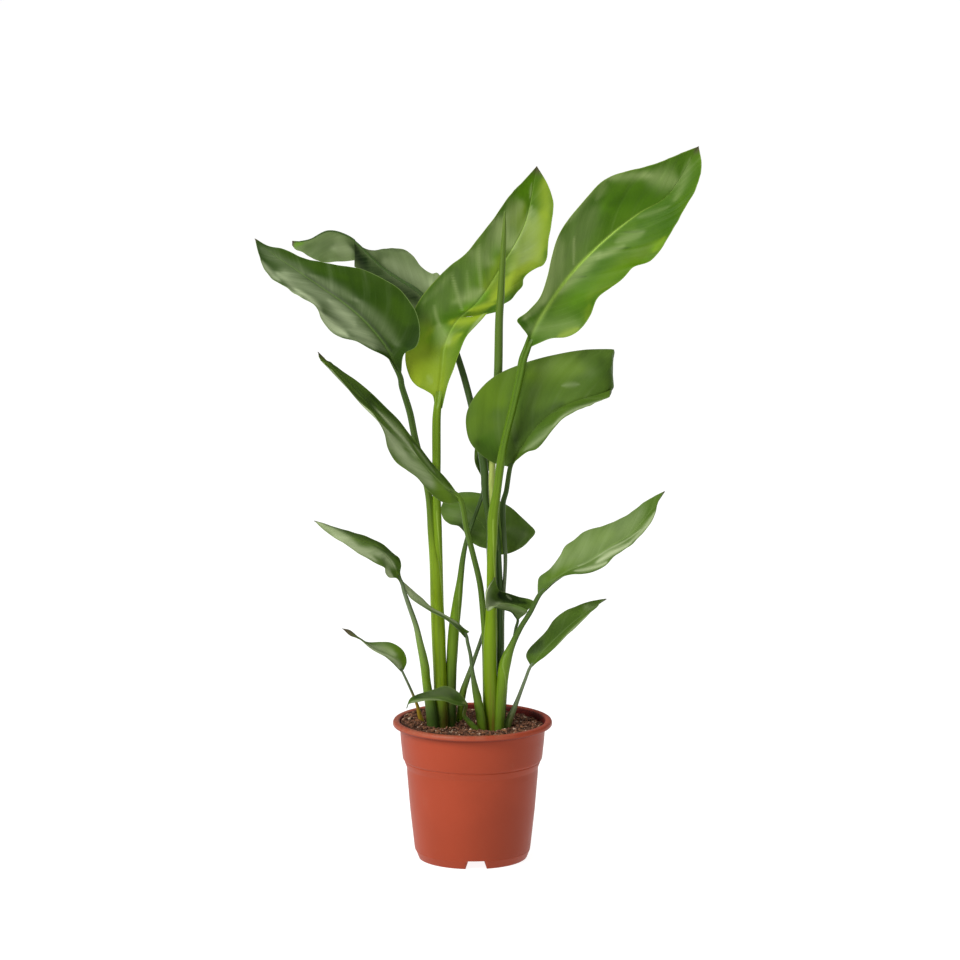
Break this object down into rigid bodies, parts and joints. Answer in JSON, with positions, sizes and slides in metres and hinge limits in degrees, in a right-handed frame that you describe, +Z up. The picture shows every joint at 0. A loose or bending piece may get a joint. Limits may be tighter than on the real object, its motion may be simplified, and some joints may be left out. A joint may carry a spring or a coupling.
{
  "type": "potted bird of paradise",
  "caption": "Upright bird of paradise house plant with paddle-shaped leaves on long stalks, growing in a round nursery pot of terracotta-coloured plastic.",
  "frame": {"origin": "centre of the pot's foot, on the surface that it stands on", "axes": "+Z up along the pot's axis, +X to the right of the plant's front, where its fan of leaves spreads, +Y to its back"},
  "size_m": [0.4637, 0.1701, 0.766],
  "materials": {
    "pot_plastic": "satin terracotta-coloured polypropylene",
    "soil": "loose moist peat potting mix with bark crumbs",
    "leaf_green": "waxy leaf, satin above, paler and more matte below",
    "leaf_bright": "young waxy leaf, bright yellow-green where light comes through",
    "leaf_dark": "full-grown waxy leaf, dark green and glossy above, paler below",
    "stalk_green": "smooth waxy stalk tissue"
  },
  "bodies": {
    "root": {"pot": "pot_plastic", "soil": "soil", "rolled_new_leaf": "stalk_green", "leaf_upper_left": "leaf_dark", "leaf_upper_centre": "leaf_bright", "leaf_upper_right": "leaf_bright", "leaf_middle_right": "leaf_green", "leaf_top_back": "leaf_green", "leaf_middle_left": "leaf_dark", "leaf_lower_left": "leaf_green", "leaf_edge_on": "leaf_green", "leaf_small_left": "leaf_green", "leaf_small_front": "leaf_green", "leaf_lower_back": "leaf_green", "leaf_lower_right": "leaf_green", "leaf_small_curled": "leaf_green", "leaf_small_right": "leaf_green", "leaf_middle_back": "leaf_green"}
  },
  "joints": []
}
